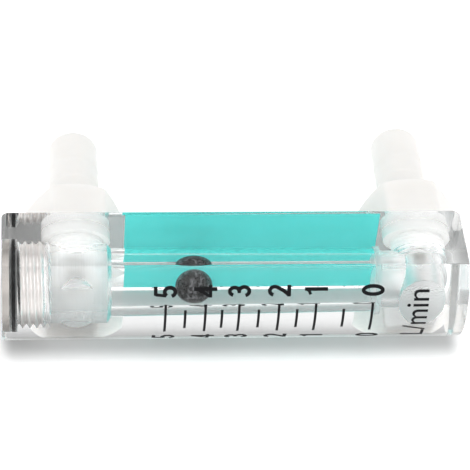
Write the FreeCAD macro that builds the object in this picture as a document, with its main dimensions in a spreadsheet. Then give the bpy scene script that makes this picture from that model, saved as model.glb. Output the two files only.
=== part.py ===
"""Oxygen flowmeter: a clear acrylic block with a ball float and two hose fittings.

The block lies on its reader's left side face, as it does on a table.
+X runs from the top end of the meter (highest reading) to its bottom end (zero),
-Y is the curved front that carries the scale, +Y is the back with the two fittings,
and +Z is up. The origin is the centre of the flat side face that the meter lies on.
All lengths are in millimetres.
"""
import FreeCAD, Part
import math
import os

import Sketcher

SIZES = {
    "block_length": 82.5,
    "block_width": 19.0,
    "side_depth": 13.1,
    "front_radius": 12.0,
    "crease_round": 0.5,
    "corner_round": 1.2,
    "bore_setback": 8.3,
    "bore_top_radius": 3.95,
    "bore_seat_radius": 3.5,
    "seat_setback": 15.0,
    "relief_width": 1.0,
    "relief_depth": 0.45,
    "passage_radius": 3.0,
    "chamber_radius": 4.85,
    "chamber_depth": 19.3,
    "shoulder_length": 0.7,
    "plug_hole_radius": 5.55,
    "plug_hole_depth": 8.6,
    "plug_seat_radius": 6.05,
    "plug_seat_depth": 2.7,
    "plug_clearance": 0.05,
    "plug_head_depth": 1.45,
    "plug_socket_flats": 4.76,
    "plug_socket_depth": 2.6,
    "plug_end_gap": 0.8,
    "plug_end_chamfer": 0.5,
    "ball_diameter": 6.7,
    "ball_from_top": 34.15,
    "ball_wall_gap": 0.05,
    "port_spread": 61.8,
    "outlet_from_top": 13.15,
    "port_seal_radius": 6.1,
    "port_seal_depth": 2.4,
    "port_thread_radius": 5.0,
    "port_thread_depth": 7.5,
    "port_drill_radius": 4.2,
    "port_depth": 12.0,
    "port_ring_height": 2.0,
    "seal_clearance": 0.05,
    "hex_flats": 16.0,
    "hex_height": 8.8,
    "shank_clearance": 0.05,
    "shank_length": 7.2,
    "shank_chamfer": 0.5,
    "neck_radius": 4.1,
    "neck_length": 3.6,
    "barb_length": 18.6,
    "barb_crest_radius": 4.6,
    "barb_root_radius": 4.3,
    "barb_pitch": 4.2,
    "barb_from_hex": 1.6,
    "nose_length": 1.8,
    "nose_radius": 3.55,
    "nose_round": 0.7,
    "fitting_bore_radius": 2.2,
    "outlet_standoff": 0.2,
    "outlet_turn": -6.0,
    "inlet_standoff": 1.2,
    "inlet_turn": 2.0,
    "film_thickness": 0.12,
    "film_margin": 1.2,
    "film_from_outlet": 8.85,
    "film_from_inlet": 6.85,
}
BARB_COUNT = 3
HEX_CHAMFER_DEGREES = 30.0

doc = FreeCAD.newDocument("oxygen_flowmeter")
sizes = doc.addObject("Spreadsheet::Sheet", "sizes")
for row, (alias, value) in enumerate(SIZES.items(), start=1):
    sizes.set("A%d" % row, alias.replace("_", " "))
    sizes.set("B%d" % row, str(value))
    sizes.setAlias("B%d" % row, alias)
doc.recompute()

HALF_LENGTH = "sizes.block_length / 2"
BACK = "sizes.side_depth / 2"
MIDDLE = "sizes.block_width / 2"
BORE_Y = "sizes.side_depth / 2 - sizes.bore_setback"
OUTLET_X = "sizes.outlet_from_top - sizes.block_length / 2"
INLET_X = "sizes.outlet_from_top + sizes.port_spread - sizes.block_length / 2"
SEAT_X = "sizes.block_length / 2 - sizes.seat_setback"
GROOVE_FLOOR = "sizes.plug_seat_radius - (sizes.plug_seat_depth - sizes.plug_head_depth)"
BACKWARD = FreeCAD.Rotation(FreeCAD.Vector(1, 0, 0), -90)
INWARD = FreeCAD.Rotation(FreeCAD.Vector(0, 0, 1), -90)


def worked_out(expression):
    """The value of an expression on the sheet, in millimetres."""
    result = sizes.evalExpression(expression.replace("sizes.", ""))
    return float(getattr(result, "Value", result))


def new_body(label):
    body = doc.addObject("PartDesign::Body", label)
    body.Label = label
    return body


def place(body, x, y, z, turn=None):
    """Put a piece at expressions for x, y and z, after an optional rotation."""
    if turn is not None:
        body.Placement = FreeCAD.Placement(FreeCAD.Vector(), turn)
    body.setExpression("Placement.Base.x", x)
    body.setExpression("Placement.Base.y", y)
    body.setExpression("Placement.Base.z", z)


def origin_plane(body, role):
    for feature in body.Origin.OriginFeatures:
        if feature.Role == role:
            return feature
    raise RuntimeError("no plane " + role)


def new_sketch(body, name, role, offset=("0", "0", "0")):
    """A sketch on one of the body's own planes, moved within that plane's frame."""
    sketch = body.newObject("Sketcher::SketchObject", name)
    sketch.AttachmentSupport = [(origin_plane(body, role), "")]
    sketch.MapMode = "FlatFace"
    for axis, expression in zip("xyz", offset):
        if expression != "0":
            sketch.setExpression("AttachmentOffset.Base." + axis, expression)
    return sketch


def fix_point(sketch, geometry, end, x, y):
    """Tie one end of a line to expressions for its place in the sketch."""
    for kind, axis, expression in (("DistanceX", -2, x), ("DistanceY", -1, y)):
        if expression == "0":
            sketch.addConstraint(Sketcher.Constraint("PointOnObject", geometry, end, axis))
        else:
            value = worked_out(expression)
            index = sketch.addConstraint(Sketcher.Constraint(kind, -1, 1, geometry, end, value))
            sketch.setExpression("Constraints[%d]" % index, expression)


def draw_outline(sketch, corners):
    """A closed outline of straight lines through corners given as expressions."""
    points = [FreeCAD.Vector(worked_out(x), worked_out(y), 0) for x, y in corners]
    count = len(points)
    for index in range(count):
        line = Part.LineSegment(points[index], points[(index + 1) % count])
        sketch.addGeometry(line, False)
    for index in range(count):
        sketch.addConstraint(Sketcher.Constraint("Coincident", index, 2, (index + 1) % count, 1))
    for index, (x, y) in enumerate(corners):
        fix_point(sketch, index, 1, x, y)


def turned(body, name, kind, sketch, axis):
    """A Revolution or Groove of a sketch through a full turn about its own axis."""
    feature = body.newObject("PartDesign::" + kind, name)
    feature.Profile = sketch
    feature.ReferenceAxis = (sketch, [axis])
    feature.Angle = 360.0
    doc.recompute()
    return feature


def edges_where(shape, test):
    return ["Edge%d" % (index + 1) for index, edge in enumerate(shape.Edges) if test(edge)]


def runs_along(edge, direction):
    ends = [vertex.Point for vertex in edge.Vertexes]
    if len(ends) != 2 or edge.Curve.TypeId != "Part::GeomLine":
        return False
    span = ends[1] - ends[0]
    return abs(abs(span.normalize() * direction) - 1.0) < 1e-6


def round_edges(body, name, test, radius):
    base = body.Tip
    fillet = body.newObject("PartDesign::Fillet", name)
    fillet.Base = (base, edges_where(base.Shape, test))
    fillet.setExpression("Radius", radius)
    doc.recompute()
    return fillet


def d_section(body):
    """The block's D-shaped section: flat back and sides, one arc across the front."""
    sketch = new_sketch(body, "block_section", "YZ_Plane")
    back = worked_out(BACK)
    width = worked_out("sizes.block_width")
    radius = worked_out("sizes.front_radius")
    half = math.asin(width / 2 / radius)
    centre = FreeCAD.Vector(-back + radius * math.cos(half), width / 2, 0)
    circle = Part.Circle(centre, FreeCAD.Vector(0, 0, 1), radius)
    corners = [FreeCAD.Vector(y, z, 0) for y, z in ((back, 0), (back, width), (-back, width), (-back, 0))]
    sketch.addGeometry(Part.LineSegment(corners[0], corners[1]), False)
    sketch.addGeometry(Part.LineSegment(corners[1], corners[2]), False)
    sketch.addGeometry(Part.ArcOfCircle(circle, math.pi - half, math.pi + half), False)
    sketch.addGeometry(Part.LineSegment(corners[3], corners[0]), False)
    for first, second in ((0, 1), (1, 2), (2, 3), (3, 0)):
        sketch.addConstraint(Sketcher.Constraint("Coincident", first, 2, second, 1))
    fix_point(sketch, 0, 1, BACK, "0")
    fix_point(sketch, 1, 1, BACK, "sizes.block_width")
    fix_point(sketch, 2, 1, "-" + BACK, "sizes.block_width")
    fix_point(sketch, 3, 1, "-" + BACK, "0")
    index = sketch.addConstraint(Sketcher.Constraint("Radius", 2, radius))
    sketch.setExpression("Constraints[%d]" % index, "sizes.front_radius")
    return sketch


def main_bore(body):
    """The stepped bore along the block: plug seat, chamber, tapered tube, passage."""
    sketch = new_sketch(body, "bore_outline", "XY_Plane", ("0", BORE_Y, MIDDLE))
    start = "-" + HALF_LENGTH
    plug_end = start + " + sizes.plug_hole_depth"
    chamber_end = start + " + sizes.chamber_depth"
    relief = "sizes.bore_seat_radius + sizes.relief_depth"
    draw_outline(sketch, [
        (start, "0"),
        (start, "sizes.plug_seat_radius"),
        (start + " + sizes.plug_seat_depth", "sizes.plug_seat_radius"),
        (start + " + sizes.plug_seat_depth", "sizes.plug_hole_radius"),
        (plug_end, "sizes.plug_hole_radius"),
        (plug_end, "sizes.chamber_radius"),
        (chamber_end + " - sizes.shoulder_length", "sizes.chamber_radius"),
        (chamber_end, "sizes.bore_top_radius"),
        (SEAT_X + " - sizes.relief_width", "sizes.bore_seat_radius"),
        (SEAT_X + " - sizes.relief_width", relief),
        (SEAT_X, relief),
        (SEAT_X, "sizes.passage_radius"),
        (INLET_X, "sizes.passage_radius"),
        (INLET_X, "0"),
    ])
    return turned(body, "bore", "Groove", sketch, "H_Axis")


def port(body, name, x):
    """A hose port from the back: seal recess, thread and drilled hole with a flat end."""
    sketch = new_sketch(body, name + "_outline", "XY_Plane", (x, BACK, MIDDLE))
    draw_outline(sketch, [
        ("0", "0"),
        ("sizes.port_seal_radius", "0"),
        ("sizes.port_seal_radius", "-sizes.port_seal_depth"),
        ("sizes.port_thread_radius", "-sizes.port_seal_depth"),
        ("sizes.port_thread_radius", "-sizes.port_thread_depth"),
        ("sizes.port_drill_radius", "-sizes.port_thread_depth"),
        ("sizes.port_drill_radius", "-sizes.port_depth"),
        ("0", "-sizes.port_depth"),
    ])
    return turned(body, name, "Groove", sketch, "V_Axis")


def acrylic_block():
    body = new_body("acrylic_block")
    pad = body.newObject("PartDesign::Pad", "block_length_pad")
    pad.Profile = d_section(body)
    pad.setExpression("Length", "sizes.block_length")
    pad.Midplane = True
    doc.recompute()
    back = worked_out(BACK)
    along_x = FreeCAD.Vector(1, 0, 0)
    along_z = FreeCAD.Vector(0, 0, 1)
    round_edges(body, "creases",
                lambda edge: runs_along(edge, along_x) and edge.CenterOfMass.y < -back + 0.01,
                "sizes.crease_round")
    round_edges(body, "back_corners",
                lambda edge: runs_along(edge, along_z) and edge.CenterOfMass.y > back - 0.01,
                "sizes.corner_round")
    solid = body.Shape.Volume
    main_bore(body)
    bored = body.Shape.Volume
    port(body, "outlet_port", OUTLET_X)
    ported = body.Shape.Volume
    port(body, "inlet_port", INLET_X)
    if not solid > bored > ported > body.Shape.Volume:
        raise RuntimeError("a bore of the block removed nothing")
    return body


def hexagon(sketch, flats):
    """A hexagon about the sketch's origin, with two corners on its first axis."""
    corner = flats + " / sqrt(3)"
    half_side = flats + " / sqrt(3) / 2"
    half_flats = flats + " / 2"
    draw_outline(sketch, [
        (corner, "0"),
        (half_side, half_flats),
        ("-" + half_side, half_flats),
        ("-" + corner, "0"),
        ("-" + half_side, "-" + half_flats),
        (half_side, "-" + half_flats),
    ])


def end_plug():
    """The screwed plug: a flush head, an O-ring groove, a threaded shank, a hex socket."""
    body = new_body("end_plug")
    sketch = new_sketch(body, "plug_outline", "XY_Plane")
    head = "sizes.plug_seat_radius - sizes.plug_clearance"
    shank = "sizes.plug_hole_radius - sizes.plug_clearance"
    end = "sizes.plug_hole_depth - sizes.plug_end_gap"
    draw_outline(sketch, [
        ("0", "0"),
        ("0", head),
        ("sizes.plug_head_depth", head),
        ("sizes.plug_head_depth", GROOVE_FLOOR),
        ("sizes.plug_seat_depth", GROOVE_FLOOR),
        ("sizes.plug_seat_depth", shank),
        (end + " - sizes.plug_end_chamfer", shank),
        (end, shank + " - sizes.plug_end_chamfer"),
        (end, "0"),
    ])
    turned(body, "plug_turned", "Revolution", sketch, "H_Axis")
    before = body.Shape.Volume
    socket_sketch = new_sketch(body, "socket_outline", "YZ_Plane")
    hexagon(socket_sketch, "sizes.plug_socket_flats")
    socket = body.newObject("PartDesign::Pocket", "hex_socket")
    socket.Profile = socket_sketch
    socket.setExpression("Length", "sizes.plug_socket_depth")
    socket.Reversed = True
    doc.recompute()
    if body.Shape.Volume >= before:
        raise RuntimeError("the plug's socket removed nothing")
    place(body, "-" + HALF_LENGTH, BORE_Y, MIDDLE)
    return body


def seal_ring(label, inside, outside, thickness):
    """A ring squeezed to a flat-sided section, about its own Y axis, clear of two walls."""
    body = new_body(label)
    sketch = new_sketch(body, "ring_section", "XY_Plane")
    inner = inside + " + sizes.seal_clearance"
    outer = outside + " - sizes.seal_clearance"
    draw_outline(sketch, [(inner, "0"), (outer, "0"), (outer, thickness), (inner, thickness)])
    turned(body, "ring_turned", "Revolution", sketch, "V_Axis")
    return body


def plug_o_ring():
    """The ring in the groove behind the plug's head."""
    thickness = "sizes.plug_seat_depth - sizes.plug_head_depth - 2 * sizes.seal_clearance"
    body = seal_ring("plug_o_ring", GROOVE_FLOOR, "sizes.plug_seat_radius", thickness)
    foot = "sizes.plug_head_depth + sizes.seal_clearance"
    place(body, "-" + HALF_LENGTH + " + " + foot, BORE_Y, MIDDLE, turn=INWARD)
    return body


def port_seal(label, x):
    """The ring on the floor of a port's recess, round the fitting's neck."""
    body = seal_ring(label, "sizes.neck_radius", "sizes.port_seal_radius", "sizes.port_ring_height")
    place(body, x, BACK + " - sizes.port_seal_depth", MIDDLE)
    return body


def float_ball():
    """The float: a plain ball that lies just clear of the tapered bore's lower wall."""
    ball = doc.addObject("Part::Sphere", "float_ball")
    ball.Label = "float_ball"
    ball.setExpression("Radius", "sizes.ball_diameter / 2")
    sag = "(sizes.bore_seat_radius - sizes.ball_diameter / 2 - sizes.ball_wall_gap)"
    place(ball, "-" + HALF_LENGTH + " + sizes.ball_from_top", BORE_Y, MIDDLE + " - " + sag)
    return ball


def backing_film():
    """The coloured film on the back face, under the edges of the two hexes."""
    film = doc.addObject("Part::Box", "backing_film")
    film.Label = "backing_film"
    left = OUTLET_X + " + sizes.film_from_outlet"
    right = INLET_X + " - sizes.film_from_inlet"
    film.setExpression("Length", "(%s) - (%s)" % (right, left))
    film.setExpression("Width", "sizes.film_thickness")
    film.setExpression("Height", "sizes.block_width - 2 * sizes.film_margin")
    place(film, left, BACK, "sizes.film_margin")
    return film


def fitting_outline(sketch):
    """Half the turned shape: threaded shank, neck, core of the hex, barbs and tip."""
    shank = "sizes.port_thread_radius - sizes.shank_clearance"
    tip = "sizes.hex_height + sizes.barb_length"
    corners = [
        ("0", "-sizes.shank_length"),
        (shank + " - sizes.shank_chamfer", "-sizes.shank_length"),
        (shank, "-sizes.shank_length + sizes.shank_chamfer"),
        (shank, "-sizes.neck_length"),
        ("sizes.neck_radius", "-sizes.neck_length"),
        ("sizes.neck_radius", "sizes.hex_height / 2"),
        ("sizes.barb_root_radius", "sizes.hex_height / 2"),
    ]
    for index in range(BARB_COUNT):
        foot = "sizes.hex_height + sizes.barb_from_hex + %d * sizes.barb_pitch" % index
        corners.append(("sizes.barb_root_radius", foot))
        corners.append(("sizes.barb_crest_radius", foot))
    corners.append(("sizes.barb_root_radius", foot + " + sizes.barb_pitch"))
    corners.append(("sizes.barb_root_radius", tip + " - sizes.nose_length"))
    corners.append(("sizes.nose_radius", tip))
    corners.append(("0", tip))
    draw_outline(sketch, corners)


def hose_fitting(label, x, standoff, turn):
    """A hose fitting, turned on its own axis and screwed into a port from the back."""
    body = new_body(label)
    hex_sketch = new_sketch(body, "hex_outline", "XY_Plane")
    hexagon(hex_sketch, "sizes.hex_flats")
    pad = body.newObject("PartDesign::Pad", "hex")
    pad.Profile = hex_sketch
    pad.setExpression("Length", "sizes.hex_height")
    doc.recompute()
    chamfer_sketch = new_sketch(body, "chamfer_outline", "XZ_Plane")
    flat = "sizes.hex_flats / 2"
    wide = "sizes.hex_flats * 0.6"
    slope = math.tan(math.radians(HEX_CHAMFER_DEGREES))
    draw_outline(chamfer_sketch, [
        (flat, "sizes.hex_height"),
        (wide, "sizes.hex_height - (%s - %s) * %.6f" % (wide, flat, slope)),
        (wide, "sizes.hex_height"),
    ])
    full = body.Shape.Volume
    turned(body, "hex_chamfer", "Groove", chamfer_sketch, "V_Axis")
    if body.Shape.Volume >= full:
        raise RuntimeError("the hex chamfer removed nothing")
    turned_sketch = new_sketch(body, "turned_outline", "XZ_Plane")
    fitting_outline(turned_sketch)
    turned(body, "turned_form", "Revolution", turned_sketch, "V_Axis")
    end = worked_out("sizes.hex_height + sizes.barb_length")
    round_edges(body, "tip_round", lambda edge: abs(edge.CenterOfMass.z - end) < 1e-4,
                "sizes.nose_round")
    solid = body.Shape.Volume
    bore_sketch = new_sketch(body, "bore_outline", "XZ_Plane")
    draw_outline(bore_sketch, [
        ("0", "-sizes.shank_length"),
        ("sizes.fitting_bore_radius", "-sizes.shank_length"),
        ("sizes.fitting_bore_radius", "sizes.hex_height + sizes.barb_length"),
        ("0", "sizes.hex_height + sizes.barb_length"),
    ])
    turned(body, "hose_bore", "Groove", bore_sketch, "V_Axis")
    if body.Shape.Volume >= solid:
        raise RuntimeError("the fitting's bore removed nothing")
    spin = FreeCAD.Rotation(FreeCAD.Vector(0, 0, 1), worked_out(turn))
    place(body, x, BACK + " + " + standoff, MIDDLE, turn=BACKWARD.multiply(spin))
    return body


def check(pieces):
    """Stop if any object of the document failed or any piece isn't a sound solid."""
    for item in doc.Objects:
        if "Invalid" in item.State or "Error" in item.State:
            raise RuntimeError("%s failed: %s" % (item.Name, item.State))
    for piece in pieces:
        if piece.Shape.isNull() or not piece.Shape.isValid() or piece.Shape.Volume <= 0:
            raise RuntimeError(piece.Label + " has no sound shape")


def main():
    pieces = [
        acrylic_block(),
        end_plug(),
        plug_o_ring(),
        float_ball(),
        backing_film(),
        hose_fitting("outlet_fitting", OUTLET_X, "sizes.outlet_standoff", "sizes.outlet_turn"),
        hose_fitting("inlet_fitting", INLET_X, "sizes.inlet_standoff", "sizes.inlet_turn"),
        port_seal("outlet_seal", OUTLET_X),
        port_seal("inlet_seal", INLET_X),
    ]
    doc.recompute()
    check(pieces)
    os.makedirs("parts", exist_ok=True)
    for piece in pieces:
        piece.Shape.exportStep("parts/%s.step" % piece.Label)
        print("%-16s %9.1f mm3" % (piece.Label, piece.Shape.Volume))


main()
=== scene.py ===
"""Looks of a small acrylic oxygen flow meter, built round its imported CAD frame.

The meter lies on its side: +X runs from its top end to its bottom end, -Y is the curved
front with the printed scale, +Y is the back with the two hose fittings, and +Z is up.
"""

import math

import bmesh
import bpy
from bpy.props import FloatProperty, FloatVectorProperty, IntProperty, PointerProperty
from mathutils import Matrix, Vector


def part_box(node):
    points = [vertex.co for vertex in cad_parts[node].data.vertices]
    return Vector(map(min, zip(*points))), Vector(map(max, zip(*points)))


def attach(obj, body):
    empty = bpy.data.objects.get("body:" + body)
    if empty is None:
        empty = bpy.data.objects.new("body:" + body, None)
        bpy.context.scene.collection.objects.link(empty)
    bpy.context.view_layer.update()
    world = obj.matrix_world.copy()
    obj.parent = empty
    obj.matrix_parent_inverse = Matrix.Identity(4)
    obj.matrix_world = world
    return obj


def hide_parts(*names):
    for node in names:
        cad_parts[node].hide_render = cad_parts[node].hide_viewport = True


bl_info = {
    "name": "Oxygen Flow Meter",
    "version": (1, 0, 0),
    "blender": (4, 5, 0),
    "location": "3D View > Sidebar > Flow Meter",
    "description": "Builds the looks of an acrylic oxygen flow meter round its CAD frame",
    "category": "Add Mesh",
}

MM = 0.001

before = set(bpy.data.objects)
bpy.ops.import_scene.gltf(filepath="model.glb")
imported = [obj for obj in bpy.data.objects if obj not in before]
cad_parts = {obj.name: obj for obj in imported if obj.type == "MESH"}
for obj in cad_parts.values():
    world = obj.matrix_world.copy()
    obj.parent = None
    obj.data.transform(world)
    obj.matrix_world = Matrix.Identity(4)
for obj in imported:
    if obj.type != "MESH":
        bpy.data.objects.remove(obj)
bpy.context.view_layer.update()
BLOCK_LOW, BLOCK_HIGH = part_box("acrylic_block")
BALL_LOW, BALL_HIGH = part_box("float_ball")
FILM_LOW, FILM_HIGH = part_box("backing_film")
PLUG_LOW, PLUG_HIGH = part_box("end_plug")
RING_LOW, RING_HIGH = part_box("plug_o_ring")
MIDDLE = (BLOCK_LOW.z + BLOCK_HIGH.z) / 2
BACK = BLOCK_HIGH.y
TOP_END = BLOCK_LOW.x
BORE_Y = (PLUG_LOW.y + PLUG_HIGH.y) / 2
OUTLET_X = sum(corner.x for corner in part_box("outlet_seal")) / 2
INLET_X = sum(corner.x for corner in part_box("inlet_seal")) / 2


def length(millimetres, description):
    """A length whose default is given in millimetres."""
    return FloatProperty(description=description, default=millimetres * MM, unit="LENGTH",
                         precision=5)


def share(value, description):
    """A plain factor from 0 to 1."""
    return FloatProperty(description=description, default=value, min=0.0, max=1.0,
                         subtype="FACTOR")


def angle(degrees, description):
    """An angle whose default is given in degrees."""
    return FloatProperty(description=description, default=math.radians(degrees), unit="ROTATION")


def number(value, description):
    """A number of no special kind."""
    return FloatProperty(description=description, default=value)


def colour(value, description):
    """A linear RGB colour."""
    return FloatVectorProperty(description=description, default=value, subtype="COLOR", size=3,
                               min=0.0, max=1.0)


def named(group):
    """Name each property of a group after its attribute."""
    for attribute, made in group.__annotations__.items():
        made.keywords["name"] = attribute.replace("_", " ").capitalize()
    return group


@named
class FlowMeterBlockSizes(bpy.types.PropertyGroup):
    """Sizes of the clear block and of the bores in it"""

    front_radius: length(12.0, "Radius of the curved front")
    crease_round: length(0.5, "Radius where the front meets the two sides")
    corner_round: length(1.2, "Radius of the two upright corners at the back")
    chamber_radius: length(4.85, "Radius of the chamber behind the plug")
    chamber_depth: length(19.3, "Depth of the chamber from the top end")
    shoulder: length(0.7, "Length of the cone between chamber and float bore")
    float_bore_top: length(3.95, "Radius of the float bore at its wide end")
    float_bore_seat: length(3.5, "Radius of the float bore at its narrow end")
    seat_setback: length(15.0, "Distance of the float's seat from the bottom end")
    relief_width: length(1.0, "Width of the groove before the seat")
    relief_depth: length(0.45, "Depth of the groove before the seat")
    passage_radius: length(3.0, "Radius of the passage into the inlet port")
    plug_seat_radius: length(6.05, "Radius of the counterbore for the plug's head")
    plug_seat_depth: length(2.7, "Depth of the counterbore for the plug's head")
    plug_hole_depth: length(8.6, "Depth to which the plug's hole is threaded")
    port_seal_radius: length(6.1, "Radius of the recess for a port's ring")
    port_seal_depth: length(2.4, "Depth of the recess for a port's ring")
    port_thread_depth: length(7.5, "Depth to which a port is threaded")
    port_drill_radius: length(4.2, "Radius of a port's plain drilled end")
    port_depth: length(12.0, "Depth of a port from the back")
    running_gap: length(0.05, "Gap between a ring and the groove or neck inside it")
    contact: length(0.02, "How far threads and soft rings press into the block")


@named
class FlowMeterThreadSizes(bpy.types.PropertyGroup):
    """Sizes of the screw threads"""

    plug_crest: length(5.5, "Outer radius of the plug's thread")
    plug_pitch: length(1.25, "Rise of the plug's thread in one turn")
    plug_depth: length(0.6, "Depth of the plug's thread")
    port_crest: length(4.95, "Outer radius of a fitting's thread")
    port_pitch: length(1.0, "Rise of a fitting's thread in one turn")
    port_depth: length(0.35, "Depth of a fitting's thread")
    rows_per_pitch: IntProperty(description="Mesh rows in one pitch", default=14, min=6)


@named
class FlowMeterFittingSizes(bpy.types.PropertyGroup):
    """Sizes of the two hose fittings"""

    hex_flats: length(16.0, "Width of the hexagon across its flats")
    hex_height: length(8.8, "Height of the hexagon along the fitting's axis")
    hex_corner: length(1.2, "Radius of the hexagon's long edges")
    hex_chamfer: angle(30.0, "Slope of the chamfer on the hexagon's outer face")
    edge_round: length(0.25, "Radius of the moulded edges")
    shank_length: length(7.2, "Length of the threaded shank and its neck")
    shank_bevel: length(0.3, "Bevel of the gas way at the shank's end")
    neck_radius: length(4.1, "Radius of the neck inside the ring")
    ring_round: length(0.06, "Radius of the edges of the ring in the port")
    barb_fillet: length(0.5, "Radius where the stub meets the hexagon")
    barb_root: length(4.56, "Radius of the hose stub between its ridges")
    barb_crest: length(4.66, "Radius of the hose stub's ridges")
    barb_step: length(0.9, "Length over which a ridge rises")
    barb_foot: length(1.6, "Distance of the first ridge from the hexagon")
    barb_pitch: length(4.2, "Distance between two ridges")
    barb_count: IntProperty(description="Number of ridges", default=3, min=1)
    nose_length: length(2.6, "Length of the nose")
    nose_radius: length(4.6, "Radius of the nose before its rounded end")
    nose_round: length(2.25, "Radius of the nose's rounded end")
    nose_setback: length(0.25, "Distance of the nose from the CAD fitting's end")
    nose_bevel: length(0.12, "Bevel of the gas way at the nose")
    bore_radius: length(2.2, "Radius of the gas way through a fitting")
    outlet_turn: angle(-6.0, "How far the outlet fitting is turned on its axis")
    inlet_turn: angle(2.0, "How far the inlet fitting is turned on its axis")


@named
class FlowMeterPlugSizes(bpy.types.PropertyGroup):
    """Sizes of the end plug and its ring"""

    head_depth: length(1.45, "Thickness of the plug's head")
    socket_flats: length(4.76, "Width of the hex socket across its flats")
    socket_depth: length(2.6, "Depth of the hex socket")
    edge_break: length(0.15, "Bevel on the head's edges")
    ring_round: length(0.35, "Radius of the edges of the black ring")


@named
class FlowMeterPrintSizes(bpy.types.PropertyGroup):
    """Sizes of the printed scale"""

    zero_x: length(24.1, "Place of the zero line along the block")
    long_line: length(6.9, "Length of a numbered line round the front")
    short_line: length(4.57, "Length of a line between two numbers")
    line_width: length(0.45, "Width of a scale line")
    lines_turn: angle(1.8, "Angle of the lines' middle above the front's middle")
    figure_height: length(4.1, "Height of the figures")
    figure_stroke: length(0.68, "Width of the strokes of the figures")
    figure_shift: length(-0.08, "Place of the figures' middles from their lines")
    upper_turn: angle(30.2, "Angle of the upper row of figures")
    lower_turn: angle(-27.0, "Angle of the lower row of figures")
    unit_x: length(34.1, "Base line of the unit along the block")
    unit_height: length(4.1, "Height of the unit's capital letter")
    unit_width: share(0.94, "Width of the unit's letters against their usual width")
    unit_weight: length(0.015, "How much the unit's letters are fattened on each side")
    unit_turn: angle(1.8, "Angle of the unit's middle")
    ink_proud: length(0.02, "How far the ink stands out of the block")
    ink_sunk: length(0.02, "How far the ink and the film are keyed into the block")


@named
class FlowMeterFinish(bpy.types.PropertyGroup):
    """Colours and finishes"""

    acrylic: colour((0.985, 0.993, 0.993), "Colour of the clear block")
    acrylic_ior: number(1.49, "Refraction of the block")
    acrylic_gloss: share(0.32, "Head-on reflection of polished acrylic against the usual")
    bore_haze: share(0.9, "Roughness of the turned chamber wall")
    drill_haze: share(0.5, "Roughness of the drilled walls of the ports")
    thread_haze: share(0.35, "Roughness of the tapped walls")
    cut_haze: share(0.42, "Roughness of the drilled ends and shoulders")
    film: colour((0.115, 1.0, 0.93), "Colour of the film as seen through the block")
    # Painted shade: the film's outside is a darker copy of its colour, to tone down the brightly
    # lit back and its teal light on the fittings.
    film_back_painted_shade: colour((0.14, 0.5, 0.47), "Colour of the film's bare outside")
    nylon: colour((0.872, 0.86, 0.838), "Colour of the hose fittings")
    # Painted light: the shanks get a brighter copy of the nylon colour, for the dimmer light inside
    # the block.
    shank: colour((0.985, 0.98, 0.965), "Colour of the fittings' screwed shanks")
    # Painted glow: emission that brightens the white parts inside the block, which are no lamps.
    painted_glow: share(0.09, "Light that the white parts pass on inside the block")
    silicone: colour((0.98, 0.978, 0.965), "Colour of the rings in the ports")
    rubber: colour((0.01, 0.01, 0.0105), "Colour of the plug's ring")
    plug: colour((0.93, 0.9, 0.885), "Colour of the plug's bright thread")
    plug_head: colour((0.5, 0.465, 0.44), "Colour of the plug's plated head")
    ball: colour((0.012, 0.0123, 0.013), "Colour of the float ball")
    ink: colour((0.004, 0.004, 0.005), "Colour of the printed scale")


@named
class FlowMeterStage(bpy.types.PropertyGroup):
    """The camera, floor and lights"""

    camera_x: length(-35.72, "Place of the camera")
    camera_y: length(-260.81, "Place of the camera")
    camera_z: length(289.57, "Place of the camera")
    camera_heading: angle(7.7796, "Turn of the view from +Y towards +X")
    camera_pitch: angle(45.7041, "How far the view looks down")
    camera_roll: angle(5.2647, "Turn of the picture about the view")
    camera_lens: number(163.06, "Focal length in mm on a 36 mm sensor")
    floor_size: length(3000.0, "Side of the floor")
    floor_gap: length(0.05, "Distance of the floor under the block")
    floor_glow: number(0.36, "Light that the floor gives off")
    shade_glow: number(0.07, "Light of the floor under the block")
    floor_shade: share(0.57, "Paleness of the floor right under the block")
    fitting_shade: share(0.6, "Strength of the shade under the hexagons")
    shade_reach: length(4.6, "How far the shade reaches out before the block's back depth")
    shade_soft: length(2.2, "Softness of the shade's edges")
    shade_front_soft: length(3.0, "Softness of the shade's front edge")
    sky: number(0.95, "Brightness of the surroundings")
    card_dim: share(0.52, "Brightness of the grey card behind, against the sky")
    card_low: angle(9.0, "Height of the card's lower edge above the horizon")
    card_high: angle(40.0, "Height of the card's upper edge above the horizon")
    card_half: angle(27.0, "Half the card's width as seen from the block")


BORE_SEGMENTS = 128
HEX_SEGMENTS = 192
FRONT_SEGMENTS = 96
ROUND_SEGMENTS = 8
MERGE = 1e-7
OVERSHOOT = 1 * MM
EDGE, HEX_EDGE, ROUND_EDGE = 28.0, 32.0, 60.0
TOOTH_FOOT, TOOTH_FLANKS = 0.14, 0.7
THREAD_START = 0.02 * MM
FACE_INSET, RUN_IN = 1.6, 0.6
WHITE = (1.0, 1.0, 1.0)
ALONG_BORE = ((TOP_END, BORE_Y, MIDDLE), (1, 0, 0), (0, 0, 1))


def settings(context):
    """All of this add-on's settings."""
    return context.scene.flow_meter


def new_object(name, data):
    """An object at the origin, linked into the scene."""
    thing = bpy.data.objects.new(name, data)
    bpy.context.scene.collection.objects.link(thing)
    return thing


def written(work, mesh):
    """Write a bmesh to a mesh, free it and give the mesh back."""
    work.to_mesh(mesh)
    work.free()
    return mesh


def mesh_from(name, points, faces, material_index=None):
    """A mesh from points and faces, with its doubles merged and its normals outwards."""
    mesh = bpy.data.meshes.new(name)
    mesh.from_pydata(points, [], faces)
    if material_index is not None:
        mesh.polygons.foreach_set("material_index", material_index)
    work = bmesh.new()
    work.from_mesh(mesh)
    bmesh.ops.remove_doubles(work, verts=work.verts, dist=MERGE)
    bmesh.ops.recalc_face_normals(work, faces=work.faces)
    return written(work, mesh)


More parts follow.
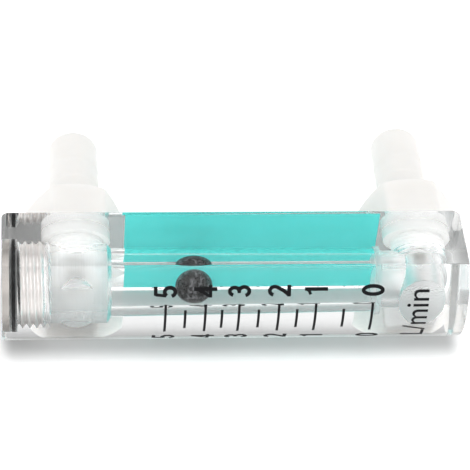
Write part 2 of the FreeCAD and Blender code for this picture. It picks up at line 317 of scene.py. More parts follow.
def arc(x, y, reach, start, end, steps=18, rise=None):
    """Points on a circle, or on an ellipse with its own rise, between two angles in degrees."""
    rise = reach if rise is None else rise
    turns = [math.radians(start + (end - start) * index / steps) for index in range(steps + 1)]
    return [(x + reach * math.cos(turn), y + rise * math.sin(turn)) for turn in turns]


def tooth(turns):
    """The height of a thread's tooth from 0 to 1, for a place given in turns."""
    wave = 1.0 - abs(2.0 * (turns - math.floor(turns)) - 1.0)
    return min(1.0, max(0.0, (wave - TOOTH_FOOT) / TOOTH_FLANKS))


def thread_rows(thread, kind, start, end, sunk=0.0, fade_in=0.0, fade_out=0.0):
    """Profile rows of the plug's or a port's helical thread, fading at its ends."""
    crest, pitch, depth = (getattr(thread, kind + part) for part in ("_crest", "_pitch", "_depth"))
    count = max(2, round((end - start) / pitch * thread.rows_per_pitch))
    rows = []
    for index in range(count + 1):
        along = start + (end - start) * index / count
        strength = 1.0
        if fade_in:
            strength = min(strength, (along - start) / fade_in)
        if fade_out:
            strength = min(strength, (end - along) / fade_out)

        def radius(theta, along=along, strength=strength):
            height = tooth(along / pitch - theta / math.tau)
            return crest - sunk - depth * (1.0 - height * strength)

        rows.append((along, radius))
    return rows


def squeezed(start, end, inner, outer, round_off):
    """The section of a soft ring pressed flat: a rectangle with round corners."""
    corners = ((end, outer, 0.0), (start, outer, 90.0), (start, inner, 180.0), (end, inner, 270.0))
    points = []
    for along, radius, turn in corners:
        back = round_off if along == end else -round_off
        down = round_off if radius == outer else -round_off
        points += arc(along - back, radius - down, round_off, turn, turn + 90.0, 6)
    return points


def turned(name, profile, pose, segments, closed=False, finishes=None):
    """A turned mesh; its pose is an origin, an axis and the direction of angle 0.

    Each profile entry is (along, radius), each a number or a function of the angle. finishes
    gives a material index for each stretch between two entries.
    """
    origin, axis, first = (Vector(part) for part in pose)
    second = axis.cross(first)
    points = []
    for along, radius in profile:
        for step in range(segments):
            theta = math.tau * step / segments
            here = along(theta) if callable(along) else along
            out = radius(theta) if callable(radius) else radius
            spoke = first * math.cos(theta) + second * math.sin(theta)
            points.append(origin + axis * here + spoke * out)
    rows = len(profile)
    slots = finishes or [0] * rows
    faces, indices = [], []
    for row in range(rows if closed else rows - 1):
        low, high = row * segments, ((row + 1) % rows) * segments
        for step in range(segments):
            after = (step + 1) % segments
            faces.append((low + step, low + after, high + after, high + step))
            indices.append(slots[row])
    if not closed:
        for row, slot in ((0, slots[0]), (rows - 1, slots[-1])):
            faces.append(tuple(row * segments + step for step in range(segments)))
            indices.append(slot)
    return mesh_from(name, points, faces, indices)


def extruded(name, section, axis, low, high):
    """A prism along X of (y, z) points, or along Z of (x, y) points."""
    points = []
    for place in (low, high):
        for first, second in section:
            points.append((place, first, second) if axis == "X" else (first, second, place))
    count = len(section)
    faces = [tuple(range(count)), tuple(range(count, 2 * count))]
    for step in range(count):
        after = (step + 1) % count
        faces.append((step, after, count + after, count + step))
    return mesh_from(name, points, faces)


def evaluated_mesh(thing):
    """The mesh that an object's modifiers or its text make."""
    bpy.context.view_layer.update()
    evaluated = thing.evaluated_get(bpy.context.evaluated_depsgraph_get())
    return bpy.data.meshes.new_from_object(evaluated)


def bake(thing):
    """Make an object's modifiers into a plain mesh and remove them."""
    mesh = evaluated_mesh(thing)
    mesh.name = thing.name
    thing.modifiers.clear()
    thing.data = mesh


def combine(target, cutter, operation):
    """Run an exact boolean between two objects, keep the result on target, drop cutter."""
    step = target.modifiers.new(operation.lower(), "BOOLEAN")
    step.operation = operation
    step.solver = "EXACT"
    step.material_mode = "TRANSFER"
    step.object = cutter
    bake(target)
    bpy.data.objects.remove(cutter)


def smooth(thing, degrees):
    """Shade smooth with edges sharper than an angle kept, and flat faces truly flat."""
    mesh = thing.data
    mesh.polygons.foreach_set("use_smooth", [True] * len(mesh.polygons))
    mesh.set_sharp_from_angle(angle=math.radians(degrees))
    step = thing.modifiers.new("weighted", "WEIGHTED_NORMAL")
    step.keep_sharp = True
    step.weight = 100
    bake(thing)


def put_on(thing, body, slot, *nodes):
    """Let a finished piece ride on its body and stand for its CAD nodes."""
    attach(thing, body)
    if nodes:
        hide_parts(*nodes)


def finished(name, mesh, materials, slot, *nodes, body="meter_body", sharp=None):
    """Make a mesh into a piece with its materials, shaded smooth up to an angle if one is given."""
    for material in materials:
        mesh.materials.append(material)
    piece = new_object(name, mesh)
    if sharp:
        smooth(piece, sharp)
    put_on(piece, body, slot, *nodes)


def soft_ring(name, pose, section, material, slot, node):
    """Make the piece of a soft ring from its section."""
    mesh = turned(name, section, pose, BORE_SEGMENTS, closed=True)
    finished(name, mesh, [material], slot, node, sharp=ROUND_EDGE)


def wired(tree, kind, inputs=None, **settings_of_node):
    """A new node with its settings, and with its inputs linked or set."""
    made = tree.nodes.new(kind)
    for name, value in settings_of_node.items():
        setattr(made, name, value)
    for name, value in (inputs or {}).items():
        fed(tree, made.inputs[name], value)
    return made


def fed(tree, target, value):
    """Link an input to a socket, or set it to a value; colours get an alpha of 1."""
    if isinstance(value, bpy.types.NodeSocket):
        tree.links.new(value, target)
    elif target.type == "RGBA":
        target.default_value = (*value, 1.0)
    else:
        target.default_value = value


def split(tree, vector):
    """The X, Y and Z of a vector socket."""
    return wired(tree, "ShaderNodeSeparateXYZ", {"Vector": vector}).outputs


def reckoned(tree, operation, *values):
    """The result of a math node on sockets or numbers."""
    return wired(tree, "ShaderNodeMath", dict(enumerate(values)), operation=operation).outputs[0]


def ranged(tree, source, low, high, start=0.3, end=0.7, curve="LINEAR"):
    """A socket that maps a source's values from start to end on to low to high."""
    inputs = {"Value": source, "From Min": start, "From Max": end, "To Min": low, "To Max": high}
    return wired(tree, "ShaderNodeMapRange", inputs, interpolation_type=curve).outputs["Result"]


def dimmed(tree, mask, bright, dim):
    """A socket that goes from bright to dim as a mask goes from 0 to 1."""
    return ranged(tree, mask, bright, dim, 0.0, 1.0)


def between(tree, source, low, high, soft, soft_high=None):
    """A socket that is 1 where a source lies between two values and falls off softly."""
    soft_high = soft_high or soft
    rise = ranged(tree, source, 0.0, 1.0, low - soft, low + soft, "SMOOTHSTEP")
    fall = ranged(tree, source, 0.0, 1.0, high + soft_high, high - soft_high, "SMOOTHSTEP")
    return reckoned(tree, "MULTIPLY", rise, fall)


class Recipe:
    """A material under construction: its tree, its shader and its noises."""

    def __init__(self, name):
        self.material = bpy.data.materials.new(name)
        self.material.use_nodes = True
        self.tree = self.material.node_tree
        self.shader = self.tree.nodes["Principled BSDF"]
        self.place = self.tree.nodes.new("ShaderNodeTexCoord").outputs["Object"]
        self.noises = {}

    def set(self, **values):
        """Link or set the shader's inputs, named with underscores for spaces."""
        for name, value in values.items():
            fed(self.tree, self.shader.inputs[name.replace("_", " ")], value)

    def noise(self, scale, detail=3.0, stretch=(1.0, 1.0, 1.0)):
        """A noise between about 0.3 and 0.7, in pieces of 1 / scale metres, made once."""
        key = (scale, detail, stretch)
        if key not in self.noises:
            place = wired(self.tree, "ShaderNodeMapping", {"Vector": self.place, "Scale": stretch})
            inputs = {"Vector": place.outputs["Vector"], "Scale": scale, "Detail": detail}
            self.noises[key] = wired(self.tree, "ShaderNodeTexNoise", inputs).outputs["Fac"]
        return self.noises[key]

    def mixed(self, source, first, second, start=0.3, end=0.7):
        """Two colours mixed by a source between start and end, used as the base colour."""
        factor = ranged(self.tree, source, 0.0, 1.0, start, end)
        inputs = {"Factor": factor, "A": first, "B": second}
        made = wired(self.tree, "ShaderNodeMix", inputs, data_type="RGBA").outputs["Result"]
        self.set(Base_Color=made)
        return made


def noisy(name, base, tints, grain, rough=None, bump=None, span=(0.3, 0.7), outside=None,
          **shader):
    """A material whose colour, roughness and relief follow noises.

    The base colour goes from tints[0] to tints[1] times itself by the noise grain, over span.
    rough is a noise with the roughness at its ends, bump a noise with its height in metres and
    its strength. A noise is given as scale, detail and stretch. outside is another colour, and
    the two places on Y between which it takes over.
    """
    recipe = Recipe(name)
    dark, light = [[min(1.0, channel * factor) for channel in base] for factor in tints]
    seen = recipe.mixed(recipe.noise(*grain), dark, light, *span)
    if rough:
        noise, low, high = rough
        recipe.set(Roughness=ranged(recipe.tree, recipe.noise(*noise), low, high))
    if bump:
        noise, height, strength = bump
        inputs = {"Height": recipe.noise(*noise), "Distance": height, "Strength": strength}
        recipe.set(Normal=wired(recipe.tree, "ShaderNodeBump", inputs).outputs["Normal"])
    if outside:
        other, start, end = outside
        recipe.mixed(split(recipe.tree, recipe.place)["Y"], seen, other, start, end)
    recipe.set(**shader)
    return recipe.material


def milky(weight, radius, scale):
    """Shader values of a material that light goes into a little."""
    return {"Subsurface_Weight": weight, "Subsurface_Radius": radius, "Subsurface_Scale": scale}


def pressed_in(finish, base):
    """Shader values of a white part in the acrylic: no gloss, and a painted glow that brightens it.
    """
    return {"Specular_IOR_Level": 0.0, "Emission_Color": base,
            "Emission_Strength": finish.painted_glow}


def block_materials(finish):
    """Polished acrylic and the walls that the tools leave, in the order of the wall slots."""
    broad, frosted, torn = (90.0,), (2400.0, 4.0), (1800.0, 3.0)
    rings = (1.0, 2.0, (2600.0, 14.0, 14.0))
    port_rings = (1.0, 2.0, (14.0, 2600.0, 14.0))
    lengthwise = (1.0, 2.0, (60.0, 500.0, 500.0))
    gloss = [finish.acrylic_gloss] * 3

    def acrylic(name, shade, grain, rough, bump, **shader):
        return noisy(name, finish.acrylic, (shade, 1.0), grain, rough, bump,
                     Transmission_Weight=1.0, IOR=finish.acrylic_ior, **shader)

    def about(noise, haze, spread):
        return noise, haze * (1.0 - spread), haze * (1.0 + spread)

    return [
        acrylic("clear_acrylic", 0.995, broad, None, ((220.0, 1.0), 0.000004, 0.4),
                Roughness=0.0, Specular_Tint=gloss),
        acrylic("turned_acrylic", 0.985, broad, about(rings, finish.bore_haze, 0.15),
                (rings, 0.00012, 1.0)),
        acrylic("reamed_acrylic", 0.99, broad, None, (lengthwise, 0.000003, 0.4),
                Roughness=0.03, Specular_Tint=gloss),
        acrylic("cut_acrylic", 0.96, frosted, about(frosted, finish.cut_haze, 0.2),
                (frosted, 0.00002, 0.6)),
        acrylic("drilled_acrylic", 0.98, port_rings, about(port_rings, finish.drill_haze, 0.3),
                (port_rings, 0.00001, 0.5)),
        acrylic("tapped_acrylic", 0.97, torn, about(torn, finish.thread_haze, 0.3),
                (torn, 0.00001, 0.5)),
    ]


POLISHED, TURNED, REAMED, CUT, DRILLED, TAPPED = range(6)
NYLON_MILKY = milky(0.7, (1.0, 0.95, 0.9), 0.0022)


def white_nylon(finish):
    return noisy("white_nylon", finish.nylon, (0.975, 1.0), (240.0,), ((900.0,), 0.3, 0.44),
                 ((1800.0, 2.0), 0.000012, 0.5), IOR=1.53, Specular_IOR_Level=0.25, **NYLON_MILKY)


def painted_bright_nylon(finish):
    """The nylon of a shank, where it touches the acrylic, painted brighter than the nylon outside
    as painted light for the dimmer light inside the block.
    """
    return noisy("painted_bright_nylon", finish.shank, (0.985, 1.0), (240.0,), ((900.0,), 0.5, 0.65),
                 **pressed_in(finish, finish.shank), **NYLON_MILKY)


def white_silicone(finish):
    # Painted glow: the rings inside the block glow through pressed_in.
    return noisy("white_silicone", finish.silicone, (0.97, 1.0), (500.0,), ((1500.0,), 0.4, 0.55),
                 **pressed_in(finish, finish.silicone), **milky(0.3, WHITE, 0.0008))


def black_rubber(finish):
    return noisy("black_rubber", finish.rubber, (0.7, 1.3), (1200.0,), ((2500.0,), 0.45, 0.62),
                 ((3000.0, 3.0), 0.00001, 0.6), Specular_IOR_Level=0.1)


def plated_metal(name, base):
    """Plating over turned brass: fine rings about the plug's axis."""
    marks = (1.0, 3.0, (4200.0, 60.0, 60.0))
    return noisy(name, base, (0.9, 1.06), marks, (marks, 0.3, 0.42), (marks, 0.000006, 0.6),
                 Metallic=1.0)


def dark_steel(finish):
    return noisy("dark_steel", finish.ball, (0.3, 11.0), (1500.0, 5.0), ((1600.0,), 0.22, 0.4),
                 ((1500.0, 2.0), 0.00003, 0.6), span=(0.5, 0.64), Metallic=0.05,
                 Specular_IOR_Level=0.3)


def teal_film(finish):
    """The film's printed inside and its outside, parted within its thickness; the outside is a
    darker copy, painted shade that tones down the brightly lit back and its teal light on the
    fittings.
    """
    half_way, soft = (FILM_LOW.y + FILM_HIGH.y) / 2, 0.02 * MM
    return noisy("teal_film", finish.film, (0.965, 1.02), (160.0, 4.0), ((1300.0,), 0.42, 0.55),
                 ((2400.0, 2.0), 0.000006, 0.4), **milky(0.3, WHITE, 0.00004),
                 outside=(finish.film_back_painted_shade, half_way - soft, half_way + soft))


def scale_ink(finish):
    return noisy("scale_ink", finish.ink, (0.8, 1.4), (1500.0,), ((3000.0,), 0.5, 0.65),
                 Specular_IOR_Level=0.15)


def front_centre(block):
    """The point on the axis of the curved front where X is 0."""
    return Vector((0.0, BLOCK_LOW.y + block.front_radius, MIDDLE))


def on_front(block, x, turn, out=0.0):
    """A point on the curved front: x along the block, turn up from the front's middle."""
    centre, radius = front_centre(block), block.front_radius + out
    return Vector((x, centre.y - radius * math.cos(turn), centre.z + radius * math.sin(turn)))


def block_prism(block):
    """The block without bores: a D-section along X with its two creases rounded."""
    small = block.crease_round
    rise = BLOCK_HIGH.z - MIDDLE - small
    reach = block.front_radius - small
    crease = math.degrees(math.asin(rise / reach))
    centre = front_centre(block)
    crease_y = centre.y - reach * math.cos(math.radians(crease))
    left, right = 180.0 - crease, 180.0 + crease
    section = [(BACK, BLOCK_LOW.z), (BACK, BLOCK_HIGH.z)]
    section += arc(crease_y, MIDDLE + rise, small, 90.0, left, ROUND_SEGMENTS)
    section += arc(centre.y, MIDDLE, block.front_radius, left, right, FRONT_SEGMENTS)[1:-1]
    section += arc(crease_y, MIDDLE - rise, small, right, 270.0, ROUND_SEGMENTS)
    return extruded("block_prism", section, "X", BLOCK_LOW.x, BLOCK_HIGH.x)


def plan_prism(block):
    """The block's plan with its two back corners rounded, as an upright prism."""
    radius = block.corner_round
    spare = 2 * MM
    section = [(BLOCK_LOW.x, BLOCK_LOW.y - spare), (BLOCK_HIGH.x, BLOCK_LOW.y - spare)]
    for x, start in ((BLOCK_HIGH.x - radius, 0.0), (BLOCK_LOW.x + radius, 90.0)):
        section += arc(x, BACK - radius, radius, start, start + 90.0, ROUND_SEGMENTS * 2)
    return extruded("block_plan", section, "Z", BLOCK_LOW.z - spare, BLOCK_HIGH.z + spare)


def main_bore_cutter(block, thread):
    """What the stepped bore takes out: plug seat, thread, chamber, taper, seat, passage."""
    threaded = thread_rows(thread, "plug", block.plug_seat_depth, block.plug_hole_depth,
                           block.contact)
    seat = BLOCK_HIGH.x - BLOCK_LOW.x - block.seat_setback
    relief = block.float_bore_seat + block.relief_depth
    rows = [
        (-OVERSHOOT, block.plug_seat_radius),
        (block.plug_seat_depth, block.plug_seat_radius),
        *threaded,
        (block.plug_hole_depth, block.chamber_radius),
        (block.chamber_depth - block.shoulder, block.chamber_radius),
        (block.chamber_depth, block.float_bore_top),
        (seat - block.relief_width, block.float_bore_seat),
        (seat - block.relief_width, relief),
        (seat, relief),
        (seat, block.passage_radius),
        (INLET_X - TOP_END, block.passage_radius),
    ]
    finishes = [TURNED, CUT] + [TAPPED] * (len(threaded) - 1)
    finishes += [CUT, TURNED, CUT, REAMED, CUT, TURNED, CUT, DRILLED, DRILLED]
    return turned("main_bore", rows, ALONG_BORE, BORE_SEGMENTS, finishes=finishes)


def port_cutter(block, thread, x, hex_y):
    """What a port takes out, drawn along its own axis from the back towards the front."""
    start = hex_y - BACK
    threaded = thread_rows(thread, "port", -block.port_thread_depth - start,
                           -block.port_seal_depth - start, block.contact)
    rows = [
        (hex_y + OVERSHOOT, block.port_seal_radius),
        (BACK - block.port_seal_depth, block.port_seal_radius),
        *((hex_y + along, radius) for along, radius in reversed(threaded)),
        (BACK - block.port_thread_depth, block.port_drill_radius),
        (BACK - block.port_depth, block.port_drill_radius),
    ]
    finishes = [DRILLED, CUT] + [TAPPED] * (len(threaded) - 1) + [CUT, DRILLED, CUT]
    return turned("port", rows, ((x, 0.0, MIDDLE), (0, 1, 0), (1, 0, 0)), BORE_SEGMENTS,
                  finishes=finishes)


def hex_underside(node):
    """Where a fitting's hexagon starts along Y: its inner end plus its shank's length."""
    low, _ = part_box(node)
    return low.y + settings(bpy.context).fitting.shank_length


class FLOWMETER_OT_block(bpy.types.Operator):
    """Make the clear block with its stepped bore and its two ports"""

    bl_idname = "flow_meter.block"
    bl_label = "Clear Block"

    def execute(self, context):
        meter = settings(context)
        block, thread = meter.block, meter.thread
        materials = block_materials(meter.finish)
        steps = [
            (block_prism(block), None),
            (plan_prism(block), "INTERSECT"),
            (main_bore_cutter(block, thread), "DIFFERENCE"),
            (port_cutter(block, thread, OUTLET_X, hex_underside("outlet_fitting")), "DIFFERENCE"),
            (port_cutter(block, thread, INLET_X, hex_underside("inlet_fitting")), "DIFFERENCE"),
        ]
        for mesh, operation in steps:
            for material in materials:
                mesh.materials.append(material)
            if operation:
                combine(piece, new_object(mesh.name, mesh), operation)
            else:
                piece = new_object("clear_block", mesh)
        smooth(piece, EDGE)
        piece.visible_shadow = False
        put_on(piece, "meter_body", "clear_acrylic", "acrylic_block")
        return {"FINISHED"}


class FLOWMETER_OT_plug(bpy.types.Operator):
    """Make the screwed end plug with its hex socket, and its black ring"""

    bl_idname = "flow_meter.plug"
    bl_label = "End Plug"

    def execute(self, context):
        meter = settings(context)
        block, thread, plug, finish = meter.block, meter.thread, meter.plug, meter.finish
        head = block.plug_seat_radius + block.contact
        groove = (RING_HIGH.y - BORE_Y) - (RING_HIGH.x - RING_LOW.x) - block.running_gap * 2
        end = PLUG_HIGH.x - TOP_END
        bevel = plug.edge_break
        flats = plug.socket_flats / 2

        def socket(theta):
            return flats / math.cos((theta % (math.pi / 3)) - math.pi / 6)

        rows = [(plug.socket_depth, 0.0), (plug.socket_depth, socket), (bevel, socket),
                (0.0, lambda theta: socket(theta) + bevel), (0.0, head - bevel), (bevel, head),
                (plug.head_depth - bevel, head), (plug.head_depth, head - bevel),
                (plug.head_depth, groove), (block.plug_seat_depth, groove)]
        head_rows = len(rows)
        half_pitch = thread.plug_pitch / 2
        rows += thread_rows(thread, "plug", block.plug_seat_depth, end, 0.0, half_pitch, half_pitch)
        rows.append((end, 0.0))
        finishes = [1] * (head_rows - 1) + [0] * (len(rows) - head_rows)
        mesh = turned("screw_plug", rows, ALONG_BORE, HEX_SEGMENTS, finishes=finishes)
        metals = (plated_metal("bright_thread", finish.plug),
                  plated_metal("plated_head", finish.plug_head))
        finished("screw_plug", mesh, metals, "plug_metal", "end_plug", sharp=EDGE)
        section = squeezed(RING_LOW.x - TOP_END, RING_HIGH.x - TOP_END, groove + block.running_gap,
                           block.plug_seat_radius + block.contact, plug.ring_round)
        soft_ring("black_ring", ALONG_BORE, section, black_rubber(finish), "black_rubber",
                  "plug_o_ring")
        return {"FINISHED"}


class FLOWMETER_OT_float(bpy.types.Operator):
    """Make the float ball"""

    bl_idname = "flow_meter.float_ball"
    bl_label = "Float Ball"

    def execute(self, context):
        work = bmesh.new()
        bmesh.ops.create_icosphere(work, subdivisions=6, radius=(BALL_HIGH.x - BALL_LOW.x) / 2,
                                   matrix=Matrix.Translation((BALL_LOW + BALL_HIGH) / 2))
        mesh = written(work, bpy.data.meshes.new("ball"))
        finished("ball", mesh, [dark_steel(settings(context).finish)], "ball_steel", "float_ball",
                 body="float", sharp=ROUND_EDGE)
        return {"FINISHED"}


class FLOWMETER_OT_film(bpy.types.Operator):
    """Make the coloured film on the back, keyed a hair into the block"""

    bl_idname = "flow_meter.film"
    bl_label = "Backing Film"

    def execute(self, context):
        meter = settings(context)
        inner = FILM_LOW.y - meter.sheet.ink_sunk
        section = [(inner, FILM_LOW.z), (FILM_HIGH.y, FILM_LOW.z),
                   (FILM_HIGH.y, FILM_HIGH.z), (inner, FILM_HIGH.z)]
        mesh = extruded("film", section, "X", FILM_LOW.x, FILM_HIGH.x)
        finished("film", mesh, [teal_film(meter.finish)], "teal_film", "backing_film")
        return {"FINISHED"}


def hex_radius(fitting):
    """The hexagon's radius as a function of the angle, with its corners rounded."""
    flat = fitting.hex_flats / 2
    small = fitting.hex_corner
    centre = (flat - small) / math.cos(math.pi / 6)

    def radius(theta, inset=0.0):
        off = abs((theta % (math.pi / 3)) - math.pi / 6)
        if flat * math.tan(off) <= centre / 2:
            return flat / math.cos(off) - inset
        from_corner = math.pi / 6 - off
        inside = small ** 2 - (centre * math.sin(from_corner)) ** 2
        return centre * math.cos(from_corner) + math.sqrt(inside) - inset

    return radius


def fitting_profile(fitting, thread, neck):
    """The closed profile of a hose fitting from its bore's inner end, and its finishes."""
    small = fitting.edge_round
    flat = fitting.hex_flats / 2
    slope = math.tan(fitting.hex_chamfer)
    six = hex_radius(fitting)
    height = fitting.hex_height
    bore = fitting.bore_radius
    shank = -fitting.shank_length
    rows = [(shank + fitting.shank_bevel, bore), (shank, bore + fitting.shank_bevel),
            (shank, thread.port_crest - thread.port_depth)]
    rows += thread_rows(thread, "port", shank + THREAD_START, -neck,
                        fade_in=thread.port_pitch * RUN_IN)
    rows += [(-neck, fitting.neck_radius), (0.0, fitting.neck_radius)]
    shank_rows = len(rows)

    def side_top(theta):
        return height - max(0.0, six(theta) - flat) * slope

    for turn in range(0, 91, 30):
        out, up = math.sin(math.radians(turn)), 1.0 - math.cos(math.radians(turn))
        rows.append((small * up, lambda theta, out=out: six(theta, small * (1.0 - out))))
    for turn in range(0, 91, 30):
        out, up = 1.0 - math.cos(math.radians(turn)), math.sin(math.radians(turn))
        rows.append((lambda theta, up=up: side_top(theta) - small * (1.0 - up),
                     lambda theta, out=out: six(theta, small * out)))
    rows.append((height, flat - small * FACE_INSET))
    root, crest, fillet = fitting.barb_root, fitting.barb_crest, fitting.barb_fillet
    rows += arc(height + fillet, root + fillet, fillet, 180.0, 270.0, 5)
    for index in range(fitting.barb_count):
        foot = height + fitting.barb_foot + index * fitting.barb_pitch
        for part in range(7):
            out = root + (crest - root) * (0.5 - 0.5 * math.cos(math.pi * part / 6))
            rows.append((foot + (part / 6 - 0.5) * fitting.barb_step, out))
    last = height + fitting.barb_foot + fitting.barb_count * fitting.barb_pitch
    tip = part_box("outlet_fitting")[1].y - hex_underside("outlet_fitting") - fitting.nose_setback
    nose = fitting.nose_round
    rows += [(last, root), (tip - fitting.nose_length, root)]
    rows += arc(tip - nose, fitting.nose_radius - nose, nose, 90.0, 0.0, 10)
    rows += [(tip, bore + fitting.nose_bevel), (tip - fitting.nose_bevel, bore)]
    return rows, [1] * shank_rows + [0] * (len(rows) - shank_rows)


class FLOWMETER_OT_fittings(bpy.types.Operator):
    """Make the two hose fittings and the white rings in their ports"""

    bl_idname = "flow_meter.fittings"
    bl_label = "Hose Fittings"

    def execute(self, context):
        meter = settings(context)
        block, fitting, finish = meter.block, meter.fitting, meter.finish
        whites = (white_nylon(finish), painted_bright_nylon(finish))
        silicone = white_silicone(finish)
        places = (("outlet", OUTLET_X, fitting.outlet_turn), ("inlet", INLET_X, fitting.inlet_turn))
        for side, x, turn in places:
            underside = hex_underside(side + "_fitting")
            low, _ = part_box(side + "_seal")
            reference = (math.cos(turn), 0.0, math.sin(turn))
            profile, finishes = fitting_profile(fitting, meter.thread, underside - low.y)
            name = side + "_hose_fitting"
            mesh = turned(name, profile, ((x, underside, MIDDLE), (0, 1, 0), reference),
                          HEX_SEGMENTS, closed=True, finishes=finishes)
            finished(name, mesh, whites, "white_nylon", side + "_fitting", sharp=HEX_EDGE)
            section = squeezed(low.y - block.contact, underside - block.contact,
                               fitting.neck_radius + block.running_gap,
                               block.port_seal_radius + block.contact, fitting.ring_round)
            soft_ring(side + "_ring", ((x, 0.0, MIDDLE), (0, 1, 0), (1, 0, 0)), section, silicone,
                      "white_silicone", side + "_seal")
        return {"FINISHED"}


FIGURES = (("5", 36.7), ("4", 29.65), ("3", 23.7), ("2", 16.65), ("1", 10.1), ("0", 0.0))
HALVES = (33.2, 26.7, 20.2, 13.4, 5.1)
FIGURE_STROKES = {
    "0": [(1.0, arc(0.0, 0.5, 0.185, 0.0, 360.0, 36, 0.4175))],
    "1": [(1.0, [(0.07, 0.0), (0.07, 1.0)]), (0.8, [(0.08, 0.9), (-0.04, 0.8), (-0.17, 0.74)])],
    "2": [(1.0, arc(0.0, 0.7, 0.185, 165.0, -30.0, rise=0.2175) + [(0.0, 0.3), (-0.17, 0.11)]),
          (1.0, [(-0.26, 0.0825), (0.26, 0.0825)])],
    "3": [(1.0, arc(-0.01, 0.715, 0.17, 165.0, -90.0, rise=0.2025)),
          (1.0, arc(-0.01, 0.3, 0.195, 90.0, -165.0, rise=0.2175)),
          (0.9, [(-0.09, 0.515), (0.02, 0.515)])],
    "4": [(1.0, [(0.1, 0.0), (0.1, 1.0)]), (0.8, [(0.1, 0.9), (-0.05, 0.6), (-0.22, 0.33)]),
          (0.85, [(-0.28, 0.29), (0.28, 0.29)])],
    "5": [(0.95, [(-0.18, 0.9215), (0.22, 0.9215)]), (0.85, [(-0.14, 0.92), (-0.19, 0.46)]),
          (1.0, arc(-0.02, 0.31, 0.2, 145.0, -160.0, rise=0.2275))],
}
STROKE_PART = 0.08
CAPITAL_SHARE = 0.69
LETTER_CUT = 0.25 * MM


def stroke(work, line, width, low, high):
    """Add one pen stroke along flat points to a mesh, as a closed strip from low to high."""
    closed = math.dist(line[0], line[-1]) < 1e-9
    points = [Vector(point) for point in (line[:-1] if closed else line)]
    count = len(points)
    rows = []
    for index, here in enumerate(points):
        ways = []
        if closed or index:
            ways.append((here - points[index - 1]).normalized())
        if closed or index < count - 1:
            ways.append((points[(index + 1) % count] - here).normalized())
        way = sum(ways, Vector((0.0, 0.0))).normalized()
        side = Vector((-way.y, way.x)) * width / 2 / way.dot(ways[0])
        corners = ((-1, low), (1, low), (1, high), (-1, high))
        rows.append([work.verts.new((*(here + side * hand), level)) for hand, level in corners])
    for index in range(count if closed else count - 1):
        first, second = rows[index], rows[(index + 1) % count]
        for corner in range(4):
            after = (corner + 1) % 4
            work.faces.new((first[corner], first[after], second[after], second[corner]))
    if not closed:
        work.faces.new(rows[0])
        work.faces.new(reversed(rows[-1]))


def figure(name, text, sheet):
    """One figure of the scale, drawn flat with its foot on the X axis, finely divided."""
    work = bmesh.new()
    size = sheet.figure_height
    for weight, line in FIGURE_STROKES[text]:
        fine = []
        for (x0, y0), (x1, y1) in zip(line, line[1:]):
            parts = max(1, math.ceil(math.dist((x0, y0), (x1, y1)) / STROKE_PART))
            for part in range(parts):
                fine.append(((x0 + (x1 - x0) * part / parts) * size,
                             (y0 + (y1 - y0) * part / parts) * size))
        fine.append((line[-1][0] * size, line[-1][1] * size))
        stroke(work, fine, weight * sheet.figure_stroke, -sheet.ink_sunk, sheet.ink_proud)
    bmesh.ops.recalc_face_normals(work, faces=work.faces)
    return written(work, bpy.data.meshes.new(name))


def wrapped(mesh, block, turn, x):
    """Lay a flat mesh on the curved front, with its foot at x and reading up the front."""
    for vertex in mesh.vertices:
        reading, upward, out = vertex.co
        vertex.co = on_front(block, x - upward, turn + reading / block.front_radius, out)


def lettering(name, text, sheet):
    """Flat closed lettering at the origin, finely cut so that it can be bent."""
    thickness = sheet.ink_proud + sheet.ink_sunk
    curve = bpy.data.curves.new(name, "FONT")
    curve.body = text
    curve.size = sheet.unit_height / CAPITAL_SHARE
    curve.align_x = "CENTER"
    curve.offset = sheet.unit_weight
    curve.extrude = thickness / 2
    curve.resolution_u = 6
    source = new_object(name, curve)
    mesh = evaluated_mesh(source)
    bpy.data.objects.remove(source)
    work = bmesh.new()
    work.from_mesh(mesh)
    bmesh.ops.remove_doubles(work, verts=work.verts, dist=MERGE)
    low = min(vertex.co.x for vertex in work.verts)
    high = max(vertex.co.x for vertex in work.verts)
    for index in range(1, int((high - low) / LETTER_CUT) + 1):
        geometry = work.verts[:] + work.edges[:] + work.faces[:]
        bmesh.ops.bisect_plane(work, geom=geometry, plane_co=(low + index * LETTER_CUT, 0, 0),
                               plane_no=(1, 0, 0))
    bmesh.ops.translate(work, verts=work.verts, vec=(0, 0, thickness / 2 - sheet.ink_sunk))
    bmesh.ops.triangulate(work, faces=work.faces)
    written(work, mesh)
    for vertex in mesh.vertices:
        vertex.co.x *= sheet.unit_width
    return mesh


